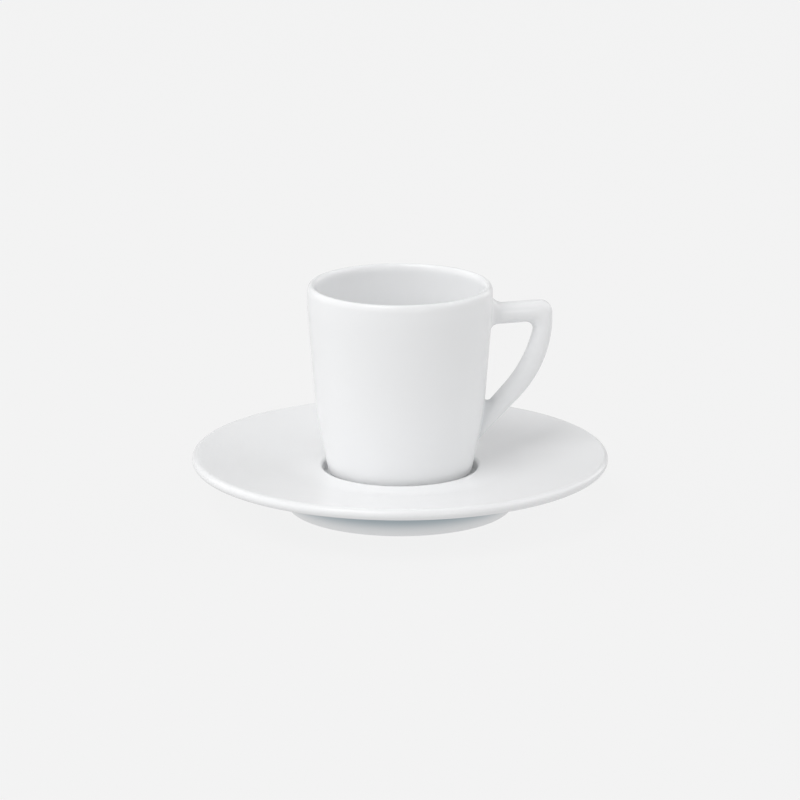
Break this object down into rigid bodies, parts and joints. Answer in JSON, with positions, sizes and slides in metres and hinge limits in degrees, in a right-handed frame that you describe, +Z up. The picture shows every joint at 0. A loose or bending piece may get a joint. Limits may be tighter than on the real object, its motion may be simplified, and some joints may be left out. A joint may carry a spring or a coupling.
{
  "type": "espresso cup and saucer",
  "caption": "Small tapered white porcelain coffee cup with an angular loop handle, standing in the shallow well of a round saucer with a wide flange and a foot ring.",
  "frame": {"origin": "on the table, at the centre of the saucer's foot ring", "axes": "+Z up along the axis of cup and saucer; +X along the cup's handle; +Y completes the right-handed frame"},
  "size_m": [0.125, 0.125, 0.0682],
  "materials": {
    "porcelain": "glossy clear glaze over white porcelain, bare clay only on the faces of the foot rings"
  },
  "bodies": {
    "saucer": {"saucer": "porcelain"},
    "cup": {"cup_body": "porcelain", "cup_handle": "porcelain"}
  },
  "joints": [
    {"name": "cup_lift", "type": "slide", "parent": "saucer", "child": "cup", "axis": [0, 0, 1], "range_m": [0, 0.1]}
  ]
}
